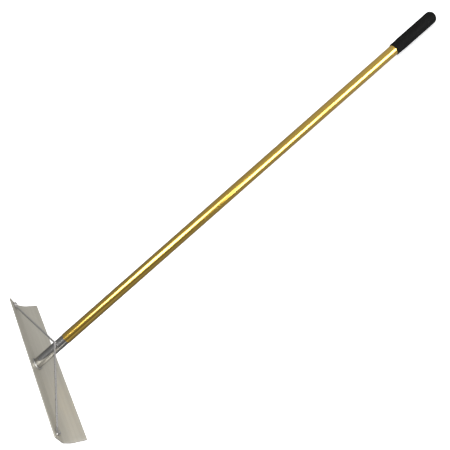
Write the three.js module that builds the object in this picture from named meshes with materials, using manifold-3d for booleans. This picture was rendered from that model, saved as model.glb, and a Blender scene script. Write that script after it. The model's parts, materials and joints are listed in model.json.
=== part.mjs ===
// Hand rake with a bent aluminium blade, a rod brace, a polished socket, a long anodised tube and a grip.
//
// The pieces are built in the handle's own frame: X runs along the blade, Y along the handle towards
// the blade and Z up, with the origin on the handle's axis where the tube meets the socket. The whole
// tool is then tipped about X so that it lies on the blade's working edge and on the end of the grip,
// with the origin on the floor under the middle of the working edge. Millimetres throughout.

import * as THREE from 'three';
import { mergeVertices } from 'three/addons/utils/BufferGeometryUtils.js';
import Module from 'manifold-3d';

const wasm = await Module();
wasm.setup();

// ---------------------------------------------------------------- driving dimensions

const GAP = 0.3; // clearance between two pieces that touch
const ROUND_STEPS = 48; // facets around the handle
const SMALL_STEPS = 24; // facets around bolts, nuts and rivets

const TUBE = { diameter: 30, wall: 1.6, length: 1300, edgeBreak: 0.4 };

const GRIP = {
  length: 142.5,
  diameter: 35,
  lipDiameter: 33.8,
  lipLength: 22,
  lipRound: 1.2,
  endWall: 6.5,
  noseRadius: 11,
  noseSteps: 8,
  lipSteps: 4,
};

// The sheet is bent twice: a flat flange at the top, a narrow web, and the face that does the work.
const BLADE = {
  length: 495.3,
  thickness: 3,
  flangeWidth: 37.8,
  webWidth: 23.1,
  faceWidth: 37.1,
  flangeLean: THREE.MathUtils.degToRad(13.7), // flange against the plane across the handle
  upperBend: THREE.MathUtils.degToRad(31.1),
  lowerBend: THREE.MathUtils.degToRad(19.3),
  upperBendRadius: 10, // on the hollow side
  lowerBendRadius: 50,
  bendSteps: 8,
};

const SOCKET = {
  diameter: 28.5,
  bore: 20,
  reach: 103.1, // end of the tube to the blade, along the handle's axis
  axisBelowEdge: 33.1, // flange's top edge to the handle's axis, along the flange
  neckLength: 62,
  neckChamfer: 1.5,
};

const WELD = { beadRadius: 3.8, steps: 48, sides: 12 };

// One rod, flattened to an eye at each end and bent in the middle, where it is welded to the socket.
const BRACE = {
  rodDiameter: 5,
  eyeRadius: 6.6,
  eyeThickness: 2,
  flatLength: 7, // flattened stretch between an eye's centre and the start of the taper
  taperLength: 9,
  endFromBladeEnd: 17,
  endBelowEdge: 18, // flange's top edge to the eye's bolt, along the flange
  apexFromTube: 24.8, // end of the tube to where the lines of the two halves meet
  apexBendRadius: 14,
  flatSquareness: 5, // exponent of the section's superellipse; 2 is round
  roundSquareness: 2,
  sides: 16,
  tipSteps: 5,
  tipStart: THREE.MathUtils.degToRad(4), // first and last section of an eye's round tip
  tipEnd: THREE.MathUtils.degToRad(76),
  taperSteps: 6,
  shaftSteps: 8,
  apexSteps: 4,
};

// Short beads on both sides of the rod, on top of the socket.
const BRACE_WELD = { length: 12, beadRadius: 2.7, fromRodAxis: 3.2, belowRodAxis: 1.6, steps: 6 };

// Low round heads behind the flange, with thin nuts on its hollow side.
const BOLT = {
  diameter: 6.35,
  endChamfer: 0.8,
  headDiameter: 12,
  headHeight: 2.4,
  headSteps: 5,
  pastNut: 0.8,
};

const NUT = {
  acrossFlats: 11.1,
  height: 4.2,
  faceShare: 0.95, // round face at each end, as a share of the width across the flats
  breakSlope: 0.5, // drop of the broken corners for each millimetre outwards
};

const RIVET = {
  shankDiameter: 4.2,
  headDiameter: 8.4,
  headHeight: 1.8,
  headSteps: 4,
  tailDiameter: 6,
  tailLength: 1.6,
  tailInset: 0.8, // socket's bore to the tail
  places: { front: -18, rear: -46 }, // along the handle, under the tube's end
};

// ---------------------------------------------------------------- materials

function metal(colour, roughness) {
  return new THREE.MeshStandardMaterial({ color: colour, roughness, metalness: 1 });
}

const MATERIALS = {
  bladeAluminium: metal(0xaea89b, 0.45),
  polishedAluminium: metal(0xb9bab9, 0.18),
  goldAnodised: metal(0xb8912f, 0.22),
  zincSteel: metal(0xa9aab0, 0.3),
  rivetAluminium: metal(0xbfbfc2, 0.35),
  blackRubber: new THREE.MeshStandardMaterial({ color: 0x232220, roughness: 0.8, metalness: 0 }),
};

// ---------------------------------------------------------------- joining and cutting

function toSolid(geometry) {
  const bare = geometry.clone();
  bare.deleteAttribute('normal');
  bare.deleteAttribute('uv');
  const merged = mergeVertices(bare, 1e-4);
  return new wasm.Manifold(
    new wasm.Mesh({
      numProp: 3,
      vertProperties: new Float32Array(merged.attributes.position.array),
      triVerts: new Uint32Array(merged.index.array),
    }),
  );
}

function toGeometry(solid) {
  const mesh = solid.getMesh();
  const geometry = new THREE.BufferGeometry();
  geometry.setAttribute('position', new THREE.BufferAttribute(mesh.vertProperties, 3));
  geometry.setIndex(new THREE.BufferAttribute(mesh.triVerts, 1));
  geometry.computeVertexNormals();
  return geometry;
}

function cut(geometry, ...tools) {
  return toGeometry(tools.reduce((solid, tool) => solid.subtract(toSolid(tool)), toSolid(geometry)));
}

function common(first, second) {
  return toGeometry(toSolid(first).intersect(toSolid(second)));
}

// ---------------------------------------------------------------- shared shapes

// Values at evenly spaced shares from 0 to 1, both ends included.
function counted(steps, valueAt) {
  return Array.from({ length: steps + 1 }, (_, i) => valueAt(i / steps));
}

// Turned body about the local Y axis, from [radius, y] points that run from low y to high y.
function turned(points, steps = ROUND_STEPS) {
  return new THREE.LatheGeometry(points.map(([radius, y]) => new THREE.Vector2(radius, y)), steps);
}

// Cylinder about the local Y axis between two heights.
function drum(diameter, low, high, steps = SMALL_STEPS) {
  const geometry = new THREE.CylinderGeometry(diameter / 2, diameter / 2, high - low, steps);
  return geometry.translate(0, (low + high) / 2, 0);
}

// The same cylinder about an axis through a point, for use as a drill.
function drill(diameter, length, centre, direction) {
  const turn = new THREE.Quaternion().setFromUnitVectors(new THREE.Vector3(0, 1, 0), direction);
  return drum(diameter, -length / 2, length / 2).applyQuaternion(turn).translate(...centre.toArray());
}

// Extrusion along X of an outline given in Y and Z.
function extrudedAlongX(outline, length) {
  const shape = new THREE.Shape(outline.map(([y, z]) => new THREE.Vector2(y, z)));
  const axes = new THREE.Matrix4().makeBasis(
    new THREE.Vector3(0, 1, 0),
    new THREE.Vector3(0, 0, 1),
    new THREE.Vector3(1, 0, 0),
  );
  const geometry = new THREE.ExtrudeGeometry(shape, { depth: length, bevelEnabled: false });
  return geometry.applyMatrix4(axes).translate(-length / 2, 0, 0);
}

// [radius, y] points on an arc around a centre; angle 0 points outwards and a quarter turn towards +Y.
function arcPoints(centreRadius, centreY, radius, from, to, steps) {
  return counted(steps, (part) => {
    const angle = THREE.MathUtils.lerp(from, to, part);
    return [centreRadius + radius * Math.cos(angle), centreY + radius * Math.sin(angle)];
  });
}

// [radius, y] points of a low dome, from its rim on the seat to its crown on the axis.
function domePoints(diameter, seat, height, steps) {
  return counted(steps, (part) => {
    const angle = (Math.PI / 2) * part;
    return [(diameter / 2) * Math.cos(angle), seat + height * Math.sin(angle)];
  });
}

function namedMesh(name, geometry, material) {
  const mesh = new THREE.Mesh(geometry, material);
  mesh.name = name;
  return mesh;
}

// ---------------------------------------------------------------- blade section

// Heading angles are measured in the Y-Z plane from straight down, positive towards +Y.
function heading(angle) {
  return { y: Math.sin(angle), z: -Math.cos(angle) };
}

// The side that faces the grip is on the -Y side of each facet.
function hollowNormal(angle) {
  return { y: -Math.cos(angle), z: -Math.sin(angle) };
}

const FLANGE_ANGLE = BLADE.flangeLean;
const WEB_ANGLE = FLANGE_ANGLE - BLADE.upperBend;
const FACE_ANGLE = WEB_ANGLE - BLADE.lowerBend;

// Top edge of the flange on the hollow side.
const FLANGE_TOP = {
  y: SOCKET.reach - heading(FLANGE_ANGLE).y * SOCKET.axisBelowEdge,
  z: -heading(FLANGE_ANGLE).z * SOCKET.axisBelowEdge,
};

// Point on the flange's hollow side, a distance below its top edge.
function onFlange(distance) {
  const along = heading(FLANGE_ANGLE);
  return { y: FLANGE_TOP.y + along.y * distance, z: FLANGE_TOP.z + along.z * distance };
}

// Points and hollow-side normals down the hollow side, with each bend as an arc.
function hollowSide() {
  const { flangeWidth, webWidth, faceWidth, upperBend, lowerBend } = BLADE;
  const facets = [
    { angle: FLANGE_ANGLE, width: flangeWidth, radius: BLADE.upperBendRadius, bend: upperBend },
    { angle: WEB_ANGLE, width: webWidth, radius: BLADE.lowerBendRadius, bend: lowerBend },
    { angle: FACE_ANGLE, width: faceWidth, radius: 0, bend: 0 },
  ];
  const stations = [{ ...FLANGE_TOP, angle: FLANGE_ANGLE }];
  let corner = { ...FLANGE_TOP };
  for (const { angle, width, radius, bend } of facets) {
    const along = heading(angle);
    const tangent = radius * Math.tan(bend / 2);
    const last = width - tangent;
    const arcStart = { y: corner.y + along.y * last, z: corner.z + along.z * last };
    const inward = hollowNormal(angle);
    const centre = { y: arcStart.y + inward.y * radius, z: arcStart.z + inward.z * radius };
    const steps = bend ? BLADE.bendSteps : 0;
    for (let i = 0; i <= steps; i += 1) {
      const turn = angle - (steps ? (bend * i) / steps : 0);
      const out = hollowNormal(turn);
      stations.push({ y: centre.y - out.y * radius, z: centre.z - out.z * radius, angle: turn });
    }
    corner = { y: corner.y + along.y * width, z: corner.z + along.z * width };
  }
  return stations;
}

// The hollow side moved a distance towards the grip (or behind it, when the distance is negative).
function offsetSide(distance) {
  return hollowSide().map(({ y, z, angle }) => {
    const out = hollowNormal(angle);
    return [y + out.y * distance, z + out.z * distance];
  });
}

// Middle and back corner of the narrow face along the working edge.
const [FRONT_CORNER] = offsetSide(0).slice(-1);
const [BACK_CORNER] = offsetSide(-BLADE.thickness).slice(-1);

// ---------------------------------------------------------------- blade, socket, weld

const BRACE_BOLT_X = BLADE.length / 2 - BRACE.endFromBladeEnd;
const BOLT_HOLE = BOLT.diameter + 2 * GAP;
const SIDES = { left: -1, right: 1 };

function braceBoltCentre(side) {
  const { y, z } = onFlange(BRACE.endBelowEdge);
  return new THREE.Vector3(side * BRACE_BOLT_X, y, z);
}

function flangeNormal() {
  const { y, z } = hollowNormal(FLANGE_ANGLE);
  return new THREE.Vector3(0, y, z);
}

function makeBlade() {
  const outline = [...offsetSide(0), ...offsetSide(-BLADE.thickness).reverse()];
  const depth = BLADE.flangeWidth / 2;
  const drills = Object.values(SIDES).map((side) =>
    drill(BOLT_HOLE, depth, braceBoltCentre(side), flangeNormal()),
  );
  const geometry = cut(extrudedAlongX(outline, BLADE.length), ...drills);
  return namedMesh('blade', geometry, MATERIALS.bladeAluminium);
}

// Everything behind the hollow side, less the gap, so that what stands on the blade is cut to its shape.
function behindBlade() {
  const width = 2 * (SOCKET.diameter + 2 * WELD.beadRadius);
  const far = SOCKET.reach + SOCKET.diameter;
  const face = offsetSide(GAP);
  const top = face[0];
  const bottom = face[face.length - 1];
  return extrudedAlongX([...face, [far, bottom[1]], [far, top[1]]], width);
}

const NECK_DIAMETER = TUBE.diameter - 2 * TUBE.wall - 2 * GAP;

function makeSocket() {
  const barrel = SOCKET.diameter / 2;
  const neck = NECK_DIAMETER / 2;
  const bore = SOCKET.bore / 2;
  const overrun = SOCKET.reach + SOCKET.diameter / 2;
  const body = turned([
    [bore, -SOCKET.neckLength],
    [neck - SOCKET.neckChamfer, -SOCKET.neckLength],
    [neck, SOCKET.neckChamfer - SOCKET.neckLength],
    [neck, GAP],
    [barrel - TUBE.edgeBreak, GAP],
    [barrel, GAP + TUBE.edgeBreak],
    [barrel, overrun],
    [bore, overrun],
    [bore, -SOCKET.neckLength],
  ]);
  const rivetHoles = Object.values(RIVET.places).map(rivetHole);
  const geometry = cut(body, behindBlade(), ...rivetHoles);
  return namedMesh('socket', geometry, MATERIALS.polishedAluminium);
}

// Where the hollow side lies at a height above the handle's axis.
function hollowSideAt(height) {
  const side = offsetSide(0);
  const lower = side.findIndex(([, z]) => z <= height);
  const [[y0, z0], [y1, z1]] = [side[lower - 1], side[lower]];
  return y0 + ((y1 - y0) * (height - z0)) / (z1 - z0);
}

// Room that the socket's barrel and its clearance take up.
function socketSpace() {
  return drum(SOCKET.diameter + 2 * GAP, 0, SOCKET.reach + SOCKET.diameter, ROUND_STEPS);
}

// Bead around the socket's foot, following the line where the socket meets the blade.
function makeFootWeld() {
  const inner = SOCKET.diameter / 2;
  const line = Array.from({ length: WELD.steps }, (_, i) => {
    const angle = (2 * Math.PI * i) / WELD.steps;
    const z = inner * Math.sin(angle);
    return new THREE.Vector3(inner * Math.cos(angle), hollowSideAt(z), z);
  });
  const section = new THREE.Shape().absarc(0, 0, WELD.beadRadius, 0, 2 * Math.PI);
  const bead = new THREE.ExtrudeGeometry(section, {
    steps: WELD.steps,
    curveSegments: WELD.sides,
    extrudePath: new THREE.CatmullRomCurve3(line, true),
    bevelEnabled: false,
  });
  return namedMesh('foot_weld', cut(bead, socketSpace(), behindBlade()), MATERIALS.polishedAluminium);
}

// ---------------------------------------------------------------- handle

function rivetHole(y) {
  const centre = new THREE.Vector3(0, y, -TUBE.diameter / 2);
  return drill(RIVET.shankDiameter + 2 * GAP, TUBE.diameter, centre, new THREE.Vector3(0, 0, 1));
}

function makeTube() {
  const outer = TUBE.diameter / 2;
  const inner = outer - TUBE.wall;
  const breakEdge = TUBE.edgeBreak;
  const body = turned([
    [inner, -TUBE.length],
    [outer - breakEdge, -TUBE.length],
    [outer, breakEdge - TUBE.length],
    [outer, -breakEdge],
    [outer - breakEdge, 0],
    [inner, 0],
    [inner, -TUBE.length],
  ]);
  const rivetHoles = Object.values(RIVET.places).map(rivetHole);
  return namedMesh('handle_tube', cut(body, ...rivetHoles), MATERIALS.goldAnodised);
}

const GRIP_END = -(TUBE.length + GAP + GRIP.endWall);

function makeGrip() {
  const outer = GRIP.diameter / 2;
  const lip = GRIP.lipDiameter / 2;
  const inner = TUBE.diameter / 2 + GAP;
  const mouth = GRIP_END + GRIP.length;
  const nose = GRIP.noseRadius;
  const round = GRIP.lipRound;
  const geometry = turned([
    [0, GRIP_END],
    ...arcPoints(outer - nose, GRIP_END + nose, nose, -Math.PI / 2, 0, GRIP.noseSteps),
    [outer, mouth - GRIP.lipLength],
    ...arcPoints(lip - round, mouth - round, round, 0, Math.PI / 2, GRIP.lipSteps),
    [inner, mouth],
    [inner, -(TUBE.length + GAP)],
    [0, -(TUBE.length + GAP)],
  ]);
  return namedMesh('grip', geometry, MATERIALS.blackRubber);
}

// Rivets on the underside hold the tube on the socket's neck. Built about Y with the head outwards.
function makeRivet(name, place) {
  const seat = TUBE.diameter / 2 + GAP;
  const tailTop = SOCKET.bore / 2 - RIVET.tailInset;
  const shank = RIVET.shankDiameter / 2;
  const tail = RIVET.tailDiameter / 2;
  const geometry = turned(
    [
      [0, tailTop - RIVET.tailLength],
      [tail, tailTop - RIVET.tailLength],
      [tail, tailTop],
      [shank, tailTop],
      [shank, seat],
      ...domePoints(RIVET.headDiameter, seat, RIVET.headHeight, RIVET.headSteps),
    ],
    SMALL_STEPS,
  );
  const rivet = namedMesh(name, geometry, MATERIALS.rivetAluminium);
  rivet.rotation.x = -Math.PI / 2;
  rivet.position.y = place;
  return rivet;
}

// ---------------------------------------------------------------- brace rod

function superellipse(angle, exponent) {
  const c = Math.cos(angle);
  const s = Math.sin(angle);
  const power = 2 / exponent;
  return [Math.sign(c) * Math.abs(c) ** power, Math.sign(s) * Math.abs(s) ** power];
}

// Closed body through a row of sections, each with a centre, a width and a thickness direction.
function lofted(sections, sides) {
  const positions = [];
  for (const { centre, width, thickness, halfWidth, halfThickness, exponent } of sections) {
    for (let i = 0; i < sides; i += 1) {
      const [across, up] = superellipse((2 * Math.PI * (i + 0.5)) / sides, exponent);
      const point = centre
        .clone()
        .addScaledVector(width, across * halfWidth)
        .addScaledVector(thickness, up * halfThickness);
      positions.push(...point.toArray());
    }
  }
  const index = [];
  for (let ring = 0; ring + 1 < sections.length; ring += 1) {
    for (let i = 0; i < sides; i += 1) {
      const next = (i + 1) % sides;
      const a = ring * sides + i;
      const b = ring * sides + next;
      index.push(a, b, a + sides, b, b + sides, a + sides);
    }
  }
  const lastRing = (sections.length - 1) * sides;
  for (let i = 1; i + 1 < sides; i += 1) {
    index.push(0, i + 1, i);
    index.push(lastRing, lastRing + i, lastRing + i + 1);
  }
  const geometry = new THREE.BufferGeometry();
  geometry.setAttribute('position', new THREE.BufferAttribute(new Float32Array(positions), 3));
  geometry.setIndex(index);
  return geometry;
}

const X_AXIS = new THREE.Vector3(1, 0, 0);
const ROD_RADIUS = BRACE.rodDiameter / 2;

// The left half of the rod: its eye, where its flat ends, and where its line meets the other half's.
const EYE_ABOVE_FLANGE = GAP + BRACE.eyeThickness / 2;
const EYE_CENTRE = braceBoltCentre(SIDES.left).addScaledVector(flangeNormal(), EYE_ABOVE_FLANGE);
const FLAT_END = EYE_CENTRE.clone().addScaledVector(X_AXIS, BRACE.flatLength);
const VERTEX = new THREE.Vector3(0, BRACE.apexFromTube, SOCKET.diameter / 2 + GAP + ROD_RADIUS);
const SHAFT = VERTEX.clone().sub(FLAT_END);
const SHAFT_DIRECTION = SHAFT.clone().normalize();
const HALF_TURN = SHAFT_DIRECTION.angleTo(X_AXIS);
const BEND_START = SHAFT.length() - BRACE.apexBendRadius * Math.tan(HALF_TURN);
const HALF_LENGTH = BEND_START + BRACE.apexBendRadius * HALF_TURN;
const TO_BEND_CENTRE = new THREE.Vector3(0, -SHAFT_DIRECTION.y, -SHAFT_DIRECTION.z).normalize();

// Point and direction on the left half of the shaft, at a distance from the end of the flat.
function shaftAt(distance) {
  if (distance <= BEND_START) {
    const straight = FLAT_END.clone().addScaledVector(SHAFT_DIRECTION, distance);
    return { point: straight, direction: SHAFT_DIRECTION };
  }
  const radius = BRACE.apexBendRadius;
  const turn = (HALF_LENGTH - distance) / radius;
  const inset = radius / Math.cos(HALF_TURN) - radius * Math.cos(turn);
  const point = VERTEX.clone()
    .addScaledVector(TO_BEND_CENTRE, inset)
    .addScaledVector(X_AXIS, -radius * Math.sin(turn));
  const direction = X_AXIS.clone()
    .multiplyScalar(Math.cos(turn))
    .addScaledVector(TO_BEND_CENTRE, -Math.sin(turn));
  return { point, direction };
}

// Half width, half thickness and squareness of the rod at a distance from an eye's centre.
function rodSize(distance) {
  const { eyeRadius, eyeThickness, flatLength, taperLength, flatSquareness, roundSquareness } = BRACE;
  const flat = eyeThickness / 2;
  if (distance < 0) {
    const halfWidth = Math.sqrt(eyeRadius ** 2 - distance ** 2);
    return { halfWidth, halfThickness: flat, exponent: flatSquareness };
  }
  const blend = THREE.MathUtils.smoothstep(distance, flatLength, flatLength + taperLength);
  return {
    halfWidth: THREE.MathUtils.lerp(eyeRadius, ROD_RADIUS, blend),
    halfThickness: THREE.MathUtils.lerp(flat, ROD_RADIUS, blend),
    exponent: THREE.MathUtils.lerp(flatSquareness, roundSquareness, blend),
  };
}

// Distances of the left half's sections from the eye's centre, from the tip to the middle of the bend.
function rodStations() {
  const roundFrom = BRACE.flatLength + BRACE.taperLength;
  const bendFrom = BRACE.flatLength + BEND_START;
  const middle = BRACE.flatLength + HALF_LENGTH;
  const tip = counted(BRACE.tipSteps, (part) => {
    return -BRACE.eyeRadius * Math.cos(THREE.MathUtils.lerp(BRACE.tipStart, BRACE.tipEnd, part));
  });
  const taper = counted(BRACE.taperSteps, (part) => BRACE.flatLength + BRACE.taperLength * part);
  const shaft = counted(BRACE.shaftSteps, (part) => THREE.MathUtils.lerp(roundFrom, bendFrom, part));
  const bend = counted(BRACE.apexSteps, (part) => THREE.MathUtils.lerp(bendFrom, middle, part));
  return [...tip, 0, ...taper, ...shaft.slice(1), ...bend.slice(1)];
}

// Section across the rod; its flat faces the way the flange does.
function rodSection(distance, clearance) {
  const pastFlat = distance - BRACE.flatLength;
  const shaft = shaftAt(Math.max(pastFlat, 0));
  const centre = shaft.point.addScaledVector(X_AXIS, Math.min(pastFlat, 0));
  const blend = THREE.MathUtils.smoothstep(distance, 0, BRACE.flatLength + BRACE.taperLength);
  const direction = X_AXIS.clone().lerp(shaft.direction, blend).normalize();
  const width = new THREE.Vector3().crossVectors(flangeNormal(), direction).normalize();
  const thickness = new THREE.Vector3().crossVectors(direction, width);
  const { halfWidth, halfThickness, exponent } = rodSize(distance);
  return {
    centre,
    width,
    thickness,
    halfWidth: halfWidth + clearance,
    halfThickness: halfThickness + clearance,
    exponent,
  };
}

function mirrored(section) {
  const flip = (vector) => new THREE.Vector3(-vector.x, vector.y, vector.z);
  return {
    ...section,
    centre: flip(section.centre),
    width: flip(section.width),
    thickness: flip(section.thickness),
  };
}

// Closed body through sections that end in the middle of the tool, and through their mirror images.
function symmetricLoft(leftSections) {
  const rightSections = leftSections.slice(0, -1).reverse().map(mirrored);
  return lofted([...leftSections, ...rightSections], BRACE.sides);
}

function rodBody(clearance) {
  return symmetricLoft(rodStations().map((distance) => rodSection(distance, clearance)));
}

function makeBraceRod() {
  const holes = Object.values(SIDES).map((side) =>
    drill(BOLT_HOLE, 2 * BRACE.flatLength, braceBoltCentre(side), flangeNormal()),
  );
  return namedMesh('brace_rod', cut(rodBody(0), ...holes), MATERIALS.zincSteel);
}

// Bead along one side of the rod, where it lies on the socket. Towards is +1 on the blade's side.
function makeBraceWeld(name, towards) {
  const half = BRACE_WELD.length / 2;
  const sections = counted(BRACE_WELD.steps, (part) => {
    const angle = THREE.MathUtils.lerp(BRACE.tipStart, Math.PI / 2, part);
    const fromMiddle = half * Math.cos(angle);
    const section = rodSection(BRACE.flatLength + HALF_LENGTH - fromMiddle, 0);
    section.centre.y += towards * BRACE_WELD.fromRodAxis;
    section.centre.z -= BRACE_WELD.belowRodAxis;
    section.halfWidth = BRACE_WELD.beadRadius * Math.sin(angle);
    section.halfThickness = section.halfWidth;
    return section;
  });
  const bead = cut(symmetricLoft(sections), socketSpace(), rodBody(GAP));
  return namedMesh(name, bead, MATERIALS.polishedAluminium);
}

// ---------------------------------------------------------------- bolts and nuts

// Low round head under the seat at y = 0, and a plain shank that ends in a chamfer.
function boltBody(shankEnd) {
  const radius = BOLT.diameter / 2;
  const crown = domePoints(BOLT.headDiameter, 0, -BOLT.headHeight, BOLT.headSteps);
  return turned(
    [
      ...crown.reverse(),
      [radius, 0],
      [radius, shankEnd - BOLT.endChamfer],
      [radius - BOLT.endChamfer, shankEnd],
      [0, shankEnd],
    ],
    SMALL_STEPS,
  );
}

// Hexagon about Y whose corners are broken by a cone at both ends, with its hole.
function nutBody() {
  const corner = NUT.acrossFlats / Math.sqrt(3);
  const face = (NUT.faceShare * NUT.acrossFlats) / 2;
  const rim = 2 * corner - face;
  const drop = NUT.breakSlope * (rim - face);
  const envelope = turned(
    [
      [0, 0],
      [face, 0],
      [rim, drop],
      [rim, NUT.height - drop],
      [face, NUT.height],
      [0, NUT.height],
    ],
    SMALL_STEPS,
  );
  const prism = drum(2 * corner, 0, NUT.height, 6);
  const hole = drum(BOLT_HOLE, -NUT.height, 2 * NUT.height);
  return cut(common(prism, envelope), hole);
}

// Bolt from behind the blade, with the nut on the hollow side over the rod's eye.
function flangeFastener(name, side) {
  const headSeat = -(BLADE.thickness + GAP);
  const nutSeat = BRACE.eyeThickness + 2 * GAP;
  const shankEnd = nutSeat + NUT.height + BOLT.pastNut;
  const bolt = namedMesh(`brace_bolt_${name}`, boltBody(shankEnd - headSeat), MATERIALS.zincSteel);
  const nut = namedMesh(`brace_nut_${name}`, nutBody(), MATERIALS.zincSteel);
  bolt.position.y = headSeat;
  nut.position.y = nutSeat;
  const group = new THREE.Group();
  group.add(bolt, nut);
  group.quaternion.setFromUnitVectors(new THREE.Vector3(0, 1, 0), flangeNormal());
  group.position.copy(braceBoltCentre(side));
  return group;
}

// ---------------------------------------------------------------- assembly

const tool = new THREE.Group();
tool.add(
  makeBlade(),
  makeSocket(),
  makeFootWeld(),
  makeTube(),
  makeGrip(),
  makeBraceRod(),
  makeBraceWeld('brace_weld_front', 1),
  makeBraceWeld('brace_weld_rear', -1),
);
for (const [name, side] of Object.entries(SIDES)) {
  tool.add(flangeFastener(name, side));
}
for (const [name, place] of Object.entries(RIVET.places)) {
  tool.add(makeRivet(`tube_rivet_${name}`, place));
}

// Tip the tool until the blade's back corner and the underside of the grip's end touch one level floor.
const gripTouch = GRIP_END + GRIP.noseRadius;
const tip = Math.atan((-GRIP.diameter / 2 - BACK_CORNER[1]) / (BACK_CORNER[0] - gripTouch));
const edgeMiddle = new THREE.Vector3(
  0,
  (FRONT_CORNER[0] + BACK_CORNER[0]) / 2,
  (FRONT_CORNER[1] + BACK_CORNER[1]) / 2,
).applyAxisAngle(new THREE.Vector3(1, 0, 0), tip);
const floorPoint = new THREE.Vector3(0, ...BACK_CORNER).applyAxisAngle(new THREE.Vector3(1, 0, 0), tip);

tool.rotation.x = tip;
tool.position.set(0, -edgeMiddle.y, -floorPoint.z);

const rake = new THREE.Group();
rake.add(tool);

export default rake;
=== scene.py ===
"""Long-handled hand rake: a bent aluminium blade with a rod brace, a polished socket, a gold
anodised tube and a black rubber grip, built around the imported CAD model. Metres throughout."""

import json
import math

import bmesh
import bpy
from mathutils import Matrix, Vector


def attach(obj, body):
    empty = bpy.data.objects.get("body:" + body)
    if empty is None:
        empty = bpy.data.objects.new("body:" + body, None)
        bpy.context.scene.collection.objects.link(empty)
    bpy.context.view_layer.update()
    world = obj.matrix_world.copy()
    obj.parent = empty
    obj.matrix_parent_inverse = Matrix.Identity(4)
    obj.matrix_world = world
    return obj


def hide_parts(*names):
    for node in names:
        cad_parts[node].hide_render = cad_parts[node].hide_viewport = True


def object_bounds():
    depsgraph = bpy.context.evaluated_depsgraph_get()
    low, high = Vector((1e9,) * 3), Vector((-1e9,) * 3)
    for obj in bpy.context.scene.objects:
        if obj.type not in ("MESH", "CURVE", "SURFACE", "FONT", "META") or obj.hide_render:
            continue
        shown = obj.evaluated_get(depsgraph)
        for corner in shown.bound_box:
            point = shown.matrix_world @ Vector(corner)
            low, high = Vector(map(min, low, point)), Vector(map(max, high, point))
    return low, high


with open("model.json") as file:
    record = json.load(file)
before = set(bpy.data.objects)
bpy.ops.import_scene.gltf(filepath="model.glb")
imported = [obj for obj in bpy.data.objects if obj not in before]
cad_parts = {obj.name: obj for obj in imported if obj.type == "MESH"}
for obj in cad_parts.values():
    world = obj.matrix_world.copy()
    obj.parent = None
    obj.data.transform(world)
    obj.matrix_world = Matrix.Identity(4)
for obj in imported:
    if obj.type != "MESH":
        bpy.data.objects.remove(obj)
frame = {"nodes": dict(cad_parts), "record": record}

CAD_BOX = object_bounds()

MM = 0.001
GAP = 0.3 * MM  # clearance between two pieces that touch
AXIS_X, AXIS_Y, AXIS_Z = Vector((1, 0, 0)), Vector((0, 1, 0)), Vector((0, 0, 1))

# ---------------------------------------------------------------- driving dimensions

TUBE_WALL = 1.6 * MM
EDGE_BREAK = 0.4 * MM

GRIP_LIP = 22 * MM  # length of the slightly thinner stretch at the grip's mouth
GRIP_LIP_DEPTH = 0.6 * MM
GRIP_NOSE = 11 * MM  # radius of the closed end's rim
GRIP_LIP_ROUND = 1.2 * MM
GRIP_STEP = 0.8 * MM  # half the length of the soft step down to the lip
GRIP_STEP_EASE = 0.15 * MM  # how far under the grip's radius the steep middle begins
GRIP_LIP_EASE = 0.1 * MM  # how far over the lip's radius it ends

NECK_LENGTH = 62 * MM
SOCKET_BORE = 20 * MM

WELD_LEG = 3.2 * MM
WELD_RIPPLES = 34
WELD_FILL = 0.9  # the bead's size before its ripples and waves, as a share of the leg
WELD_RIPPLE = 0.08
WELD_WAVE = 0.03
WELD_WAVES = 3  # slow waves on the way round the socket
WELD_WAVE_PHASE = 1

ROD_RADIUS = 2.5 * MM
ROD_BEND = 14 * MM  # radius of the bend over the socket
EYE_RADIUS = 6.6 * MM
EYE_THICKNESS = 2 * MM
EYE_FLAT = 7 * MM  # flattened stretch between an eye's centre and the start of the taper
EYE_TAPER = 9 * MM

BRACE_WELD_LENGTH = 12 * MM
BRACE_WELD_LEG = 3.4 * MM  # from the rod's flank out over the socket
BRACE_WELD_RIPPLES = 5
BRACE_WELD_FILL = 0.88
BRACE_WELD_RIPPLE = 0.12

BOLT_DIAMETER = 6.35 * MM
BOLT_HEAD = 2.4 * MM
THREAD_PITCH = 1.27 * MM
THREAD_DEPTH = 0.5 * MM
PLAIN_SHANK = 0.35  # share of the bolt's shank without a thread
HEX_WIDTH = 11.1 * MM
NUT_LEAD_IN = 0.3 * MM
RIVET_SHANK = 4.2 * MM
RIVET_TAIL = 1.6 * MM
RIVET_TAIL_RADIUS = 3 * MM
RIVET_TAIL_ROUND = 0.5 * MM

# ---------------------------------------------------------------- the handle's own frame

SAME_POINT = 0.001 * MM
END_DEPTH = 0.01 * MM  # how near a swept end the corners of its face lie


def handle_frame():
    """Y runs from the grip's closed end towards the blade, X along the blade and Z up."""
    mount = next(m for m in frame["record"]["mounts"] if m["name"] == "grip_end")
    along = -Vector(mount["axis"]).normalized()
    matrix = Matrix((AXIS_X, along, AXIS_X.cross(along))).transposed().to_4x4()
    matrix.translation = Vector(mount["pos_m"])
    return matrix


HANDLE = handle_frame()
TO_HANDLE = HANDLE.inverted()


def handle_box(node):
    """Lowest and highest corner of a CAD node in the handle's frame."""
    points = [TO_HANDLE @ v.co for v in frame["nodes"][node].data.vertices]
    low = Vector(min(p[i] for p in points) for i in range(3))
    high = Vector(max(p[i] for p in points) for i in range(3))
    return low, high


def handle_centre(node):
    low, high = handle_box(node)
    return (low + high) / 2


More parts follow.
